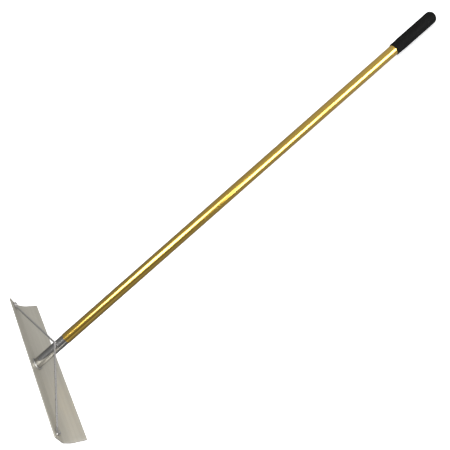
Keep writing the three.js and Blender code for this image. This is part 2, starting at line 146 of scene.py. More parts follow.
def end_outline(node):
    """Corners (y, z) of a swept node's end face in order, in the handle's frame."""
    shell = bmesh.new()
    shell.from_mesh(frame["nodes"][node].data)
    shell.transform(TO_HANDLE)
    bmesh.ops.remove_doubles(shell, verts=shell.verts, dist=SAME_POINT)
    end = min(v.co.x for v in shell.verts)
    cap = {f for f in shell.faces if all(v.co.x < end + END_DEPTH for v in f.verts)}
    rim = [e for e in shell.edges if sum(f in cap for f in e.link_faces) == 1]
    neighbours = {}
    for edge in rim:
        for a, b in (edge.verts, reversed(edge.verts)):
            neighbours.setdefault(a, []).append(b)
    start = max(neighbours, key=lambda v: v.co.z)
    walk = [start, min(neighbours[start], key=lambda v: v.co.z)]
    while True:
        following = next(v for v in neighbours[walk[-1]] if v is not walk[-2])
        if following is start:
            break
        walk.append(following)
    outline = [(v.co.y, v.co.z) for v in walk]
    shell.free()
    return outline


BLADE_OUTLINE = end_outline("blade")


def blade_face_at(height):
    """Where the blade's hollow side, which faces the grip, lies at a height above the axis."""
    crossings = []
    for (y0, z0), (y1, z1) in zip(BLADE_OUTLINE, BLADE_OUTLINE[1:] + BLADE_OUTLINE[:1]):
        if min(z0, z1) <= height <= max(z0, z1) and z0 != z1:
            crossings.append(y0 + (y1 - y0) * (height - z0) / (z1 - z0))
    return min(crossings)


def flange_normal():
    """Square to the flange on its hollow side, from two heights well inside the flange."""
    nut = handle_centre("brace_nut_left").z
    upper, lower = nut + EYE_RADIUS, nut - EYE_RADIUS
    rise = Vector((0, blade_face_at(upper) - blade_face_at(lower), upper - lower)).normalized()
    return AXIS_X.cross(rise) if AXIS_X.cross(rise).y < 0 else -AXIS_X.cross(rise)


FLANGE_NORMAL = flange_normal()

# ---------------------------------------------------------------- mesh helpers

SMOOTH_ANGLE = math.radians(32)


def new_mesh(name, vertices, faces):
    """Mesh with its faces pointing outwards."""
    mesh = bpy.data.meshes.new(name)
    mesh.from_pydata([tuple(v) for v in vertices], [], faces)
    shell = bmesh.new()
    shell.from_mesh(mesh)
    bmesh.ops.recalc_face_normals(shell, faces=shell.faces)
    shell.to_mesh(mesh)
    shell.free()
    return mesh


def new_piece(name, vertices, faces, placement=None):
    """Object in the handle's frame, or in a frame placed within it."""
    piece = bpy.data.objects.new(name, new_mesh(name, vertices, faces))
    bpy.context.scene.collection.objects.link(piece)
    piece.matrix_world = HANDLE @ placement if placement else HANDLE
    bpy.context.view_layer.update()
    return piece


def shade(piece):
    piece.data.shade_smooth()
    piece.data.set_sharp_from_angle(angle=SMOOTH_ANGLE)


def ring_faces(rings, steps, looped):
    """Quads between rings of equal length. The last ring joins the first when looped is true;
    otherwise both ends are capped."""
    pairs = [(i, i + 1) for i in range(rings - 1)]
    if looped:
        pairs.append((rings - 1, 0))
    faces = []
    for a, b in pairs:
        for i in range(steps):
            j = (i + 1) % steps
            faces.append((a * steps + i, a * steps + j, b * steps + j, b * steps + i))
    if not looped:
        faces.append(tuple(range(steps)))
        faces.append(tuple((rings - 1) * steps + i for i in range(steps)))
    return faces


def turned(name, rings, steps, looped, placement=None):
    """Body about the local Y axis. A ring is one (radius, height) pair or a pair for each angle."""
    vertices = []
    for ring in rings:
        pairs = ring if isinstance(ring, list) else [ring] * steps
        for i, (radius, height) in enumerate(pairs):
            angle = 2 * math.pi * i / steps
            vertices.append((radius * math.cos(angle), height, radius * math.sin(angle)))
    return new_piece(name, vertices, ring_faces(len(rings), steps, looped), placement)


def arc(centre_radius, centre_height, radius, start, end, steps):
    """(radius, height) pairs along an arc; angles in degrees, 0 outwards and 90 towards +Y."""
    pairs = []
    for i in range(steps + 1):
        angle = math.radians(start + (end - start) * i / steps)
        across, up = radius * math.cos(angle), radius * math.sin(angle)
        pairs.append((centre_radius + across, centre_height + up))
    return pairs


def spread(start, end, steps):
    """Evenly spaced values from start to end, both included."""
    return [start + (end - start) * i / steps for i in range(steps + 1)]


def axis_placement(centre, direction):
    """Frame at a point with its local Y axis along a direction."""
    turn = AXIS_Y.rotation_difference(direction).to_matrix().to_4x4()
    return Matrix.Translation(centre) @ turn


def freeze(piece):
    """Replaces the piece's mesh with the result of its modifiers."""
    bpy.context.view_layer.update()
    depsgraph = bpy.context.evaluated_depsgraph_get()
    mesh = bpy.data.meshes.new_from_object(piece.evaluated_get(depsgraph))
    piece.modifiers.clear()
    piece.data = mesh


HOLE_STEPS = 48


def drill(piece, centre, direction, diameter, depth):
    """Round hole through a piece, centred on a point in the handle's frame."""
    half = depth / 2
    pairs = [(diameter / 2, -half), (diameter / 2, half)]
    bit = turned("drill_bit", pairs, HOLE_STEPS, False, axis_placement(centre, direction))
    hole = piece.modifiers.new("hole", "BOOLEAN")
    hole.operation = "DIFFERENCE"
    hole.solver = "EXACT"
    hole.object = bit
    freeze(piece)
    bpy.data.objects.remove(bit)


EDGE_SEGMENTS = 3


def soften(piece, width):
    """Small rounding on every sharp edge."""
    bevel = piece.modifiers.new("edges", "BEVEL")
    bevel.width = width
    bevel.segments = EDGE_SEGMENTS
    bevel.limit_method = "ANGLE"
    bevel.angle_limit = SMOOTH_ANGLE
    freeze(piece)


# ---------------------------------------------------------------- blade, socket, weld

SHEET_STEP = 1 * MM
SHEET_MARGIN = 5 * MM  # left out at the blade's long edges
SHEET_SAMPLES = 24


def sheet_normals():
    """(y, z) of the hollow side's normal at heights down the blade."""
    low, high = handle_box("blade")
    normals = []
    for height in spread(low.z + SHEET_MARGIN, high.z - SHEET_MARGIN, SHEET_SAMPLES):
        run = blade_face_at(height + SHEET_STEP) - blade_face_at(height - SHEET_STEP)
        size = math.hypot(run, 2 * SHEET_STEP)
        normals.append((-2 * SHEET_STEP / size, run / size))
    return normals


SHEET_NORMALS = sheet_normals()
BLADE_STATIONS = 64
BLADE_EDGE = 0.35 * MM
CUT_TURN = math.radians(20)  # a face turned further than this from the sheet was sheared
BOLT_HOLE = BOLT_DIAMETER + 2 * GAP
BOLT_HOLE_DEPTH = 20 * MM  # right through the flange


def flange_point(side):
    """Where the axis of a flange bolt crosses the flange's hollow side."""
    nut = handle_centre(f"brace_nut_{side}")
    on_face = Vector((nut.x, blade_face_at(nut.z), nut.z))
    return nut - FLANGE_NORMAL * (nut - on_face).dot(FLANGE_NORMAL)


def is_cut_face(face):
    """True on the sheared ends and long edges, whose normals don't lie square to the sheet."""
    y, z = face.normal.y, face.normal.z
    squareness = [abs(y * wy + z * wz) for wy, wz in SHEET_NORMALS]
    return max(squareness) < math.cos(CUT_TURN)


def make_blade():
    low, high = handle_box("blade")
    vertices = []
    for x in spread(low.x, high.x, BLADE_STATIONS):
        vertices += [(x, y, z) for y, z in BLADE_OUTLINE]
    faces = ring_faces(BLADE_STATIONS + 1, len(BLADE_OUTLINE), False)
    blade = new_piece("blade_sheet", vertices, faces)
    for side in ("left", "right"):
        drill(blade, flange_point(side), FLANGE_NORMAL, BOLT_HOLE, BOLT_HOLE_DEPTH)
    soften(blade, BLADE_EDGE)
    shade(blade)
    blade.data.materials.append(MATERIALS["blade_aluminium"])
    blade.data.materials.append(MATERIALS["sheared_aluminium"])
    for face in blade.data.polygons:
        face.material_index = int(is_cut_face(face))
    return blade


TUBE_LOW, TUBE_HIGH = handle_box("handle_tube")
TUBE_RADIUS = TUBE_HIGH.x
TUBE_FRONT = TUBE_HIGH.y
SOCKET_RADIUS = handle_box("socket")[1].x
RIVET_PLACES = {name: handle_centre(f"tube_rivet_{name}").y for name in ("front", "rear")}

SOCKET_STEPS = 128
SOCKET_RINGS = 26
NECK_RINGS = 12
NECK_CHAMFER = 1.5 * MM


def drill_rivet_holes(piece):
    """Holes on the underside only, through the tube's wall or the socket's neck."""
    for place in RIVET_PLACES.values():
        on_wall = Vector((0, place, -TUBE_RADIUS))
        drill(piece, on_wall, AXIS_Z, RIVET_SHANK + 2 * GAP, TUBE_RADIUS)


def make_socket():
    neck = TUBE_RADIUS - TUBE_WALL - GAP
    bore = SOCKET_BORE / 2
    front = TUBE_FRONT + GAP
    neck_end = TUBE_FRONT - NECK_LENGTH
    shoulder = front + EDGE_BREAK

    def foot(radius):
        ring = []
        for i in range(SOCKET_STEPS):
            height = radius * math.sin(2 * math.pi * i / SOCKET_STEPS)
            ring.append((radius, blade_face_at(height) - GAP))
        return ring

    foot_ring = foot(SOCKET_RADIUS)
    barrel = []
    for part in spread(0, 1, SOCKET_RINGS)[:-1]:
        barrel.append([(r, shoulder + (y - shoulder) * part) for r, y in foot_ring])
    rings = [
        (bore, neck_end),
        (neck - NECK_CHAMFER, neck_end),
        *[(neck, y) for y in spread(neck_end + NECK_CHAMFER, front, NECK_RINGS)],
        (SOCKET_RADIUS - EDGE_BREAK, front),
        *barrel,
        foot_ring,
        foot(bore),
    ]
    socket = turned("socket_barrel", rings, SOCKET_STEPS, True)
    drill_rivet_holes(socket)
    shade(socket)
    return socket


STEPS_PER_RIPPLE = 10
WELD_STEPS = STEPS_PER_RIPPLE * WELD_RIPPLES
WELD_SIDES = 14
WELD_LEG_SIDES = 4


def weld_section(angle, leg):
    """Ring of points round the bead, in the corner between the socket and the blade."""
    inner = SOCKET_RADIUS + GAP

    def at(outwards, upwards):
        radius = inner + outwards
        height = radius * math.sin(angle)
        return Vector((radius * math.cos(angle), blade_face_at(height) - GAP - upwards, height))

    toe = [at(leg * part, 0) for part in spread(0, 1, WELD_LEG_SIDES)[:-1]]
    crown = []
    for i in range(WELD_SIDES + 1):
        turn = math.pi / 2 * i / WELD_SIDES
        crown.append(at(leg * math.cos(turn), leg * math.sin(turn)))
    wall = [at(0, leg * part) for part in spread(1, 0, WELD_LEG_SIDES)[1:-1]]
    return toe + crown + wall


def make_foot_weld():
    sections = []
    for i in range(WELD_STEPS):
        ripple = abs(math.sin(math.pi * WELD_RIPPLES * i / WELD_STEPS))
        wave = math.sin(2 * math.pi * WELD_WAVES * i / WELD_STEPS + WELD_WAVE_PHASE)
        leg = WELD_LEG * (WELD_FILL + WELD_RIPPLE * ripple + wave * WELD_WAVE)
        sections.append(weld_section(2 * math.pi * i / WELD_STEPS, leg))
    vertices = [point for section in sections for point in section]
    weld = new_piece("weld_bead", vertices, ring_faces(WELD_STEPS, len(sections[0]), True))
    weld.data.materials.append(MATERIALS["weld_metal"])
    shade(weld)
    return weld


# ---------------------------------------------------------------- handle

TUBE_STEPS = 128
TUBE_RINGS = 16  # in the plain part, and again in the riveted part
RIVET_END = 20 * MM  # how far behind the rear rivet the riveted part begins


def make_tube():
    outer, inner = TUBE_RADIUS, TUBE_RADIUS - TUBE_WALL
    rear, front = TUBE_LOW.y, TUBE_FRONT
    rivet_end = min(RIVET_PLACES.values()) - RIVET_END
    plain_part = spread(rear + EDGE_BREAK, rivet_end, TUBE_RINGS)
    rivet_part = spread(rivet_end, front - EDGE_BREAK, TUBE_RINGS)
    lengthwise = plain_part + rivet_part[1:]
    rings = [
        (inner, rear),
        (outer - EDGE_BREAK, rear),
        *[(outer, y) for y in lengthwise],
        (outer - EDGE_BREAK, front),
        (inner, front),
        *[(inner, y) for y in reversed(lengthwise)],
    ]
    tube = turned("anodised_tube", rings, TUBE_STEPS, True)
    drill_rivet_holes(tube)
    shade(tube)
    return tube


GRIP_POLE = 0.5 * MM  # radius of the smallest ring, at the middle of a closed end
GRIP_END_RING = 2 * MM
GRIP_RINGS = 12
GRIP_NOSE_STEPS = 24
GRIP_LIP_STEPS = 8
STEP_SHARE = 0.3  # how much of the soft step is its steep middle


def make_grip():
    low, high = handle_box("grip")
    outer = high.x
    lip = outer - GRIP_LIP_DEPTH
    inner = TUBE_RADIUS + GAP
    end, mouth = low.y, high.y
    inside_end = TUBE_LOW.y - GAP
    lip_start = mouth - GRIP_LIP
    rim, lip_rim = outer - GRIP_NOSE, lip - GRIP_LIP_ROUND
    lip_end = mouth - GRIP_LIP_ROUND
    rings = [
        (GRIP_POLE, end),
        *[(r, end) for r in spread(GRIP_END_RING, rim, 3)[:-1]],
        *arc(rim, end + GRIP_NOSE, GRIP_NOSE, -90, 0, GRIP_NOSE_STEPS),
        *[(outer, y) for y in spread(end + GRIP_NOSE, lip_start - GRIP_STEP, GRIP_RINGS)[1:]],
        (outer - GRIP_STEP_EASE, lip_start - STEP_SHARE * GRIP_STEP),
        (lip + GRIP_LIP_EASE, lip_start + STEP_SHARE * GRIP_STEP),
        *[(lip, y) for y in spread(lip_start + GRIP_STEP, lip_end, 4)],
        *arc(lip_rim, lip_end, GRIP_LIP_ROUND, 0, 90, GRIP_LIP_STEPS)[1:],
        *[(inner, y) for y in spread(mouth, inside_end, GRIP_RINGS)],
        (GRIP_POLE, inside_end),
    ]
    grip = turned("rubber_grip", rings, TUBE_STEPS, False)
    shade(grip)
    return grip


# ---------------------------------------------------------------- brace rod

ROD_SIDES = 32
FLAT_SQUARENESS = 5  # exponent of the flattened section's superellipse
ROUND_SQUARENESS = 2
TIP_START, TIP_END = math.radians(4), math.radians(80)
TIP_STEPS, TAPER_STEPS, SHAFT_STEPS, BEND_STEPS = 12, 16, 40, 12


def smooth(value, low, high):
    part = min(max((value - low) / (high - low), 0), 1)
    return part * part * (3 - 2 * part)


def mix(a, b, part):
    return a + (b - a) * part


def brace_line():
    """Inner end of the left eye's flat, direction of the left half, and where the halves' lines
    meet."""
    nearest = handle_box("brace_rod")[0].y
    middle = Vector((0, nearest + ROD_RADIUS, SOCKET_RADIUS + GAP + ROD_RADIUS))
    start = flange_point("left") + FLANGE_NORMAL * (GAP + EYE_THICKNESS / 2) + AXIS_X * EYE_FLAT
    half_turn = (middle - start).angle(AXIS_X)
    vertex = middle - AXIS_Y * ROD_BEND * (1 / math.cos(half_turn) - 1)
    return start, (vertex - start).normalized(), vertex


FLAT_END, SHAFT_DIRECTION, VERTEX = brace_line()
HALF_TURN = SHAFT_DIRECTION.angle(AXIS_X)
BEND_START = (VERTEX - FLAT_END).length - ROD_BEND * math.tan(HALF_TURN)
HALF_LENGTH = BEND_START + ROD_BEND * HALF_TURN
TO_BEND_CENTRE = Vector((0, -SHAFT_DIRECTION.y, -SHAFT_DIRECTION.z)).normalized()


def shaft_at(distance):
    """Point and direction on the rod's left half, at a distance from the end of its flat."""
    if distance <= BEND_START:
        return FLAT_END + SHAFT_DIRECTION * distance, SHAFT_DIRECTION
    turn = (HALF_LENGTH - distance) / ROD_BEND
    inset = ROD_BEND / math.cos(HALF_TURN) - ROD_BEND * math.cos(turn)
    point = VERTEX + TO_BEND_CENTRE * inset - AXIS_X * ROD_BEND * math.sin(turn)
    return point, AXIS_X * math.cos(turn) - TO_BEND_CENTRE * math.sin(turn)


def rod_size(distance):
    """Half width, half thickness and squareness at a distance from an eye's centre."""
    flat_half = EYE_THICKNESS / 2
    if distance < 0:
        return math.sqrt(EYE_RADIUS**2 - distance**2), flat_half, FLAT_SQUARENESS
    part = smooth(distance, EYE_FLAT, EYE_FLAT + EYE_TAPER)
    half_width, half_thickness = mix(EYE_RADIUS, ROD_RADIUS, part), mix(flat_half, ROD_RADIUS, part)
    return half_width, half_thickness, mix(FLAT_SQUARENESS, ROUND_SQUARENESS, part)


def rod_section(distance):
    """Superellipse across the rod's left half; its flat faces the way the flange does."""
    past_flat = distance - EYE_FLAT
    centre, direction = shaft_at(max(past_flat, 0))
    centre = centre + AXIS_X * min(past_flat, 0)
    direction = AXIS_X.lerp(direction, smooth(distance, 0, EYE_FLAT + EYE_TAPER)).normalized()
    width = FLANGE_NORMAL.cross(direction).normalized()
    thickness = direction.cross(width)
    half_width, half_thickness, squareness = rod_size(distance)
    points = []
    for i in range(ROD_SIDES):
        angle = 2 * math.pi * (i + 0.5) / ROD_SIDES
        c, s = math.cos(angle), math.sin(angle)
        across = math.copysign(abs(c) ** (2 / squareness), c) * half_width
        up = math.copysign(abs(s) ** (2 / squareness), s) * half_thickness
        points.append(centre + width * across + thickness * up)
    return points


def rod_stations():
    """Distances of the left half's sections from the eye's centre, tip to middle of the bend."""
    tip = [-EYE_RADIUS * math.cos(angle) for angle in spread(TIP_START, TIP_END, TIP_STEPS)]
    taper = spread(EYE_FLAT, EYE_FLAT + EYE_TAPER, TAPER_STEPS)
    shaft = spread(EYE_FLAT + EYE_TAPER, EYE_FLAT + BEND_START, SHAFT_STEPS)
    bend = spread(EYE_FLAT + BEND_START, EYE_FLAT + HALF_LENGTH, BEND_STEPS)
    return tip + [0, EYE_FLAT / 2] + taper + shaft[1:] + bend[1:]


def both_halves(left_sections):
    """Sections that end in the middle of the tool, followed by their mirror images."""
    mirrored = []
    for section in reversed(left_sections[:-1]):
        mirrored.append([Vector((-p.x, p.y, p.z)) for p in section])
    return left_sections + mirrored


def lofted(name, sections):
    vertices = [point for section in sections for point in section]
    return new_piece(name, vertices, ring_faces(len(sections), len(sections[0]), False))


def make_rod():
    rod = lofted("bent_rod", both_halves([rod_section(distance) for distance in rod_stations()]))
    for side in ("left", "right"):
        drill(rod, flange_point(side), FLANGE_NORMAL, BOLT_HOLE, 2 * EYE_FLAT)
    shade(rod)
    return rod


WELD_CROWN_STEPS = 12
WELD_FLANK_STEPS = 6
WELD_STATIONS = 40
WELD_FIRST, WELD_LAST = math.radians(8), math.radians(172)  # its ends, as angles on a half circle
FLANK_LOWEST = math.radians(8)  # angle round the rod from straight down
FLANK_RISE = math.radians(70)
BASE_DROP = 0.1 * MM  # under the clearance line on the socket
TOE_LEAST = 0.3 * MM
BELLY_ACROSS, BELLY_DOWN = 0.62, 0.38  # control point of the crown, from its top to its toe


def fillet_section(centre, towards, size):
    """Ring across a bead in the corner between the rod and the socket; towards is +1 on the
    blade's side and -1 on the grip's."""
    reach = ROD_RADIUS + GAP
    above_socket = centre.z - math.sqrt((SOCKET_RADIUS + GAP) ** 2 - centre.x**2)
    lowest = max(FLANK_LOWEST, math.acos(min(above_socket / reach, 1)))
    highest = lowest + FLANK_RISE * size

    def on_rod(angle):
        return reach * math.sin(angle), -reach * math.cos(angle)

    base = -above_socket - BASE_DROP
    top = on_rod(highest)
    toe = (on_rod(lowest)[0] + TOE_LEAST + BRACE_WELD_LEG * size, base)
    belly = (mix(top[0], toe[0], BELLY_ACROSS), mix(top[1], toe[1], BELLY_DOWN))
    crown = []
    for part in spread(0, 1, WELD_CROWN_STEPS):
        weights = (1 - part) ** 2, 2 * part * (1 - part), part**2
        weighted = list(zip(weights, (top, belly, toe)))
        crown.append(tuple(sum(w * p[k] for w, p in weighted) for k in (0, 1)))
    flank = [on_rod(angle) for angle in spread(lowest, highest, WELD_FLANK_STEPS)[:-1]]
    ring = [(on_rod(lowest)[0], base), *flank, *crown]
    return [centre + Vector((0, towards * across, up)) for across, up in ring]


def make_brace_weld(name, towards):
    """Short rippled bead that tapers off at both ends."""
    half = BRACE_WELD_LENGTH / 2
    sections = []
    for angle in spread(WELD_FIRST, WELD_LAST, WELD_STATIONS):
        from_middle = half * math.cos(angle)
        centre, _ = shaft_at(HALF_LENGTH - abs(from_middle))
        centre = Vector((math.copysign(centre.x, -from_middle), centre.y, centre.z))
        along = from_middle / BRACE_WELD_LENGTH + 0.5
        ripple = abs(math.sin(BRACE_WELD_RIPPLES * math.pi * along))
        size = math.sin(angle) * (BRACE_WELD_FILL + BRACE_WELD_RIPPLE * ripple)
        sections.append(fillet_section(centre, towards, size))
    weld = lofted(name, sections)
    shade(weld)
    return weld


# ---------------------------------------------------------------- bolts, nuts, rivets

HEX_STEPS = 48
CHAMFER_SLOPE = math.tan(math.radians(30))
FACE_SHARE = 0.96  # the round face at a nut's end against its width across the flats
HEX_FACE = FACE_SHARE * HEX_WIDTH / 2
STEPS_PER_PITCH = 10
LEAST_THREAD_STEPS = 4
DOME_STEPS = 14
TAIL_STEPS = 5
BOLT_CHAMFER = 0.8 * MM
POLE = 0.4 * MM  # radius of the smallest ring, at the middle of a closed end


def hex_ring(height, inwards):
    """Ring round a hexagon whose corners are cut back by a cone. inwards is the sign of the way
    from this end of the nut to its middle."""
    ring = []
    for i in range(HEX_STEPS):
        turn = math.fmod(2 * math.pi * i / HEX_STEPS, math.pi / 3) - math.pi / 6
        radius = HEX_WIDTH / 2 / math.cos(turn)
        ring.append((radius, height + inwards * (radius - HEX_FACE) * CHAMFER_SLOPE))
    return ring


def thread_rings(start, end):
    """Rings with a helical groove, ending in a chamfer."""
    radius = BOLT_DIAMETER / 2
    steps = max(int((end - start) / THREAD_PITCH * STEPS_PER_PITCH), LEAST_THREAD_STEPS)
    rings = []
    for height in spread(start, end, steps):
        ring = []
        for i in range(HEX_STEPS):
            phase = (height / THREAD_PITCH - i / HEX_STEPS) % 1
            groove = THREAD_DEPTH * (1 - abs(2 * phase - 1))
            run_in = smooth(height, start, start + THREAD_PITCH)
            limit = radius - max(height - (end - BOLT_CHAMFER), 0)
            ring.append((min(radius - groove * run_in, limit), height))
        rings.append(ring)
    return rings


def local_points(node, placement):
    """Corners of a CAD node in the frame of a placement."""
    into = (HANDLE @ placement).inverted()
    return [into @ v.co for v in frame["nodes"][node].data.vertices]


def extent(node, placement):
    """Lowest and highest point of a CAD node along the local Y axis of a placement."""
    heights = [p.y for p in local_points(node, placement)]
    return min(heights), max(heights)


def width_about(node, placement):
    """Widest diameter of a CAD node about the local Y axis of a placement."""
    return 2 * max(math.hypot(p.x, p.z) for p in local_points(node, placement))


def make_nut(name, node, placement):
    low, high = extent(node, placement)
    hole = BOLT_DIAMETER / 2 + GAP
    rings = [
        (hole, low + NUT_LEAD_IN),
        (hole + NUT_LEAD_IN, low),
        (HEX_FACE, low),
        hex_ring(low, 1),
        hex_ring(high, -1),
        (HEX_FACE, high),
        (hole + NUT_LEAD_IN, high),
        (hole, high - NUT_LEAD_IN),
    ]
    nut = turned(name, rings, HEX_STEPS, True, placement)
    shade(nut)
    return nut


def dome(radius, seat, height):
    """(radius, height) pairs of a low dome, from its crown to its rim on the seat."""
    angles = spread(math.asin(POLE / radius), math.pi / 2, DOME_STEPS)
    return [(radius * math.sin(a), seat + height * math.cos(a)) for a in angles]


def make_bolt(name, node, placement):
    """Low round head at the low end, threaded shank towards +Y."""
    low, high = extent(node, placement)
    seat = low + BOLT_HEAD
    neck = BOLT_DIAMETER / 2
    head = dome(width_about(node, placement) / 2, seat, -BOLT_HEAD)
    thread = thread_rings(mix(seat, high, PLAIN_SHANK), high)
    rings = [*head, (neck, seat), *thread, (POLE, high)]
    bolt = turned(name, rings, HEX_STEPS, False, placement)
    shade(bolt)
    return bolt


def make_rivet(name, node, place):
    """Domed head on the tube's underside, with the upset tail inside the socket's bore."""
    placement = axis_placement(Vector((0, place, 0)), -AXIS_Z)
    low, high = extent(node, placement)
    seat = TUBE_RADIUS + GAP
    shank, tail = RIVET_SHANK / 2, RIVET_TAIL_RADIUS
    rim = tail - RIVET_TAIL_ROUND
    head = dome(width_about(node, placement) / 2, seat, high - seat)
    rings = [
        (POLE, low),
        *arc(rim, low + RIVET_TAIL_ROUND, RIVET_TAIL_ROUND, -90, 0, TAIL_STEPS),
        (tail, low + RIVET_TAIL),
        (shank, low + RIVET_TAIL),
        (shank, seat),
        *reversed(head),
    ]
    rivet = turned(name, rings, HEX_STEPS, False, placement)
    shade(rivet)
    return rivet


# ---------------------------------------------------------------- materials


def add_node(tree, kind, inputs=None, **settings):
    """Node with its settings, and with inputs given as values or as sockets to link from."""
    node = tree.nodes.new(kind)
    for key, value in settings.items():
        setattr(node, key, value)
    for key, value in (inputs or {}).items():
        if isinstance(value, bpy.types.NodeSocket):
            tree.links.new(value, node.inputs[key])
        else:
            node.inputs[key].default_value = value
    return node


def noise(tree, stretch, detail=3, roughness=0.5):
    """Noise in the piece's own coordinates, with its frequency per metre given along each axis."""
    place = add_node(tree, "ShaderNodeTexCoord").outputs["Object"]
    scaled = add_node(tree, "ShaderNodeMapping", {"Vector": place, "Scale": stretch})
    texture = add_node(
        tree,
        "ShaderNodeTexNoise",
        {"Vector": scaled.outputs["Vector"], "Scale": 1, "Detail": detail, "Roughness": roughness},
    )
    return texture.outputs["Fac"]


NOISE_LOW, NOISE_HIGH = 0.3, 0.7  # nearly all of a noise's values lie between these


def remap(tree, value, low, high, start=NOISE_LOW, end=NOISE_HIGH):
    """Value spread from one range over another, and held at its ends."""
    node = add_node(
        tree,
        "ShaderNodeMapRange",
        {"Value": value, "From Min": start, "From Max": end, "To Min": low, "To Max": high},
    )
    return node.outputs["Result"]


def tint(tree, factor, dark, light):
    """Colour between two, by a factor."""
    node = add_node(tree, "ShaderNodeMix", {"Factor": factor}, data_type="RGBA")
    colours = [s for s in node.inputs if s.type == "RGBA"]
    colours[0].default_value = (*dark, 1)
    colours[1].default_value = (*light, 1)
    return next(s for s in node.outputs if s.type == "RGBA")


def add_up(tree, total, *values):
    """Sum of sockets and numbers."""
    for value in values:
        node = add_node(tree, "ShaderNodeMath", {0: total, 1: value}, operation="ADD")
        total = node.outputs["Value"]
    return total


def even(frequency):
    """The same frequency along each axis."""
    return (frequency, frequency, frequency)


def layered(*layers):
    """Pattern of 0 to 1 for a node tree, from layers of noise. A layer is its frequencies, its
    detail and its share of the sum."""

    def pattern(tree):
        parts = [remap(tree, noise(tree, at, detail), 0, share) for at, detail, share in layers]
        return add_up(tree, *parts)

    return pattern


def surface(name, metallic, colour, roughness, height, depth, **constants):
    """Material from functions that give its colour, roughness and surface height on a node tree."""
    material = bpy.data.materials.new(name)
    material.use_nodes = True
    tree = material.node_tree
    shader = tree.nodes["Principled BSDF"]
    shader.inputs["Metallic"].default_value = metallic
    for key, value in constants.items():
        shader.inputs[key.replace("_", " ")].default_value = value
    tree.links.new(colour(tree), shader.inputs["Base Color"])
    tree.links.new(roughness(tree), shader.inputs["Roughness"])
    bump = add_node(tree, "ShaderNodeBump", {"Height": height(tree), "Distance": depth})
    tree.links.new(bump.outputs["Normal"], shader.inputs["Normal"])
    return material


def metal(name, pattern, dark, light, roughness, grain, depth, **coat):
    """Metal with a fine grain, whose colour and roughness both follow one pattern."""
    return surface(
        name,
        1,
        lambda tree: tint(tree, pattern(tree), dark, light),
        lambda tree: remap(tree, pattern(tree), *roughness, 0, 1),
        lambda tree: noise(tree, *grain),
        depth,
        **coat,
    )


def matt(name, pattern, dark, light, wear, roughness, grain, depth, **constants):
    """Material that is no metal. Its colour follows a pattern and its roughness another noise."""
    return surface(
        name,
        0,
        lambda tree: tint(tree, pattern(tree), dark, light),
        lambda tree: remap(tree, noise(tree, *wear), *roughness),
        lambda tree: noise(tree, *grain),
        depth,
        **constants,
    )


def blade_aluminium():
    """Mill-finish sheet: broad soft bands and fine rolling lines along the blade, faint clouds."""
    return metal(
        "blade_aluminium",
        layered(((1.5, 90, 90), 2, 0.6), ((4, 900, 900), 4, 0.2), (even(14), 3, 0.2)),
        dark=(0.53, 0.505, 0.44),
        light=(0.61, 0.59, 0.525),
        roughness=(0.60, 0.48),
        grain=((6, 1400, 1400), 4),
        depth=0.02 * MM,
    )


def sheared_aluminium():
    """Cut edge of the sheet: torn, dull, with short marks across the thickness."""
    return metal(
        "sheared_aluminium",
        layered(((700, 700, 160), 4, 1)),
        dark=(0.42, 0.395, 0.35),
        light=(0.60, 0.57, 0.51),
        roughness=(0.70, 0.55),
        grain=((900, 900, 200), 4),
        depth=0.06 * MM,
    )


def polished_aluminium():
    """Turned and polished: fine rings round the barrel under a soft cloud."""
    return metal(
        "polished_aluminium",
        layered(((60, 2600, 60), 4, 0.5), (even(45), 3, 0.5)),
        dark=(0.30, 0.297, 0.29),
        light=(0.40, 0.396, 0.387),
        roughness=(0.22, 0.16),
        grain=((80, 2600, 80), 3),
        depth=0.002 * MM,
    )


def weld_metal():
    """Cast skin of a weld: dull, clouded and slightly pitted."""
    return metal(
        "weld_metal",
        layered((even(320), 4, 1)),
        dark=(0.35, 0.345, 0.33),
        light=(0.48, 0.475, 0.455),
        roughness=(0.50, 0.38),
        grain=(even(1500), 4),
        depth=0.03 * MM,
    )


def gold_anodised():
    """Drawn tube, dyed gold: hair-fine lines along the tube and slight unevenness of the dye."""
    return metal(
        "gold_anodised_tube",
        layered(((1500, 3, 1500), 3, 0.5), ((30, 4, 30), 2, 0.5)),
        dark=(0.56, 0.345, 0.024),
        light=(0.66, 0.42, 0.038),
        roughness=(0.22, 0.16),
        grain=((1500, 4, 1500), 3),
        depth=0.002 * MM,
        Coat_Weight=1,
        Coat_Roughness=0.14,
        Coat_IOR=1.7,
    )


def black_rubber():
    """Moulded rubber: fine closed grain, a little greyer where hands rub it."""
    return matt(
        "black_rubber",
        layered((even(40), 4, 1)),
        dark=(0.0035, 0.0034, 0.0033),
        light=(0.0056, 0.0054, 0.0052),
        wear=(even(300), 3),
        roughness=(0.72, 0.88),
        grain=(even(1300), 5, 0.6),
        depth=0.4 * MM,
        Specular_IOR_Level=0.09,
    )


def zinc_plated():
    """Bright zinc with a cloudy crystalline bloom."""
    return metal(
        "zinc_plated_steel",
        layered((even(260), 4, 1)),
        dark=(0.46, 0.45, 0.445),
        light=(0.60, 0.59, 0.585),
        roughness=(0.34, 0.26),
        grain=(even(900), 4),
        depth=0.03 * MM,
    )


def rivet_aluminium():
    """Plain aluminium with the scuffed crown of a set rivet."""
    return metal(
        "rivet_aluminium",
        layered((even(420), 5, 1)),
        dark=(0.66, 0.66, 0.66),
        light=(0.84, 0.84, 0.84),
        roughness=(0.48, 0.32),
        grain=(even(1100), 3),
        depth=0.04 * MM,
    )


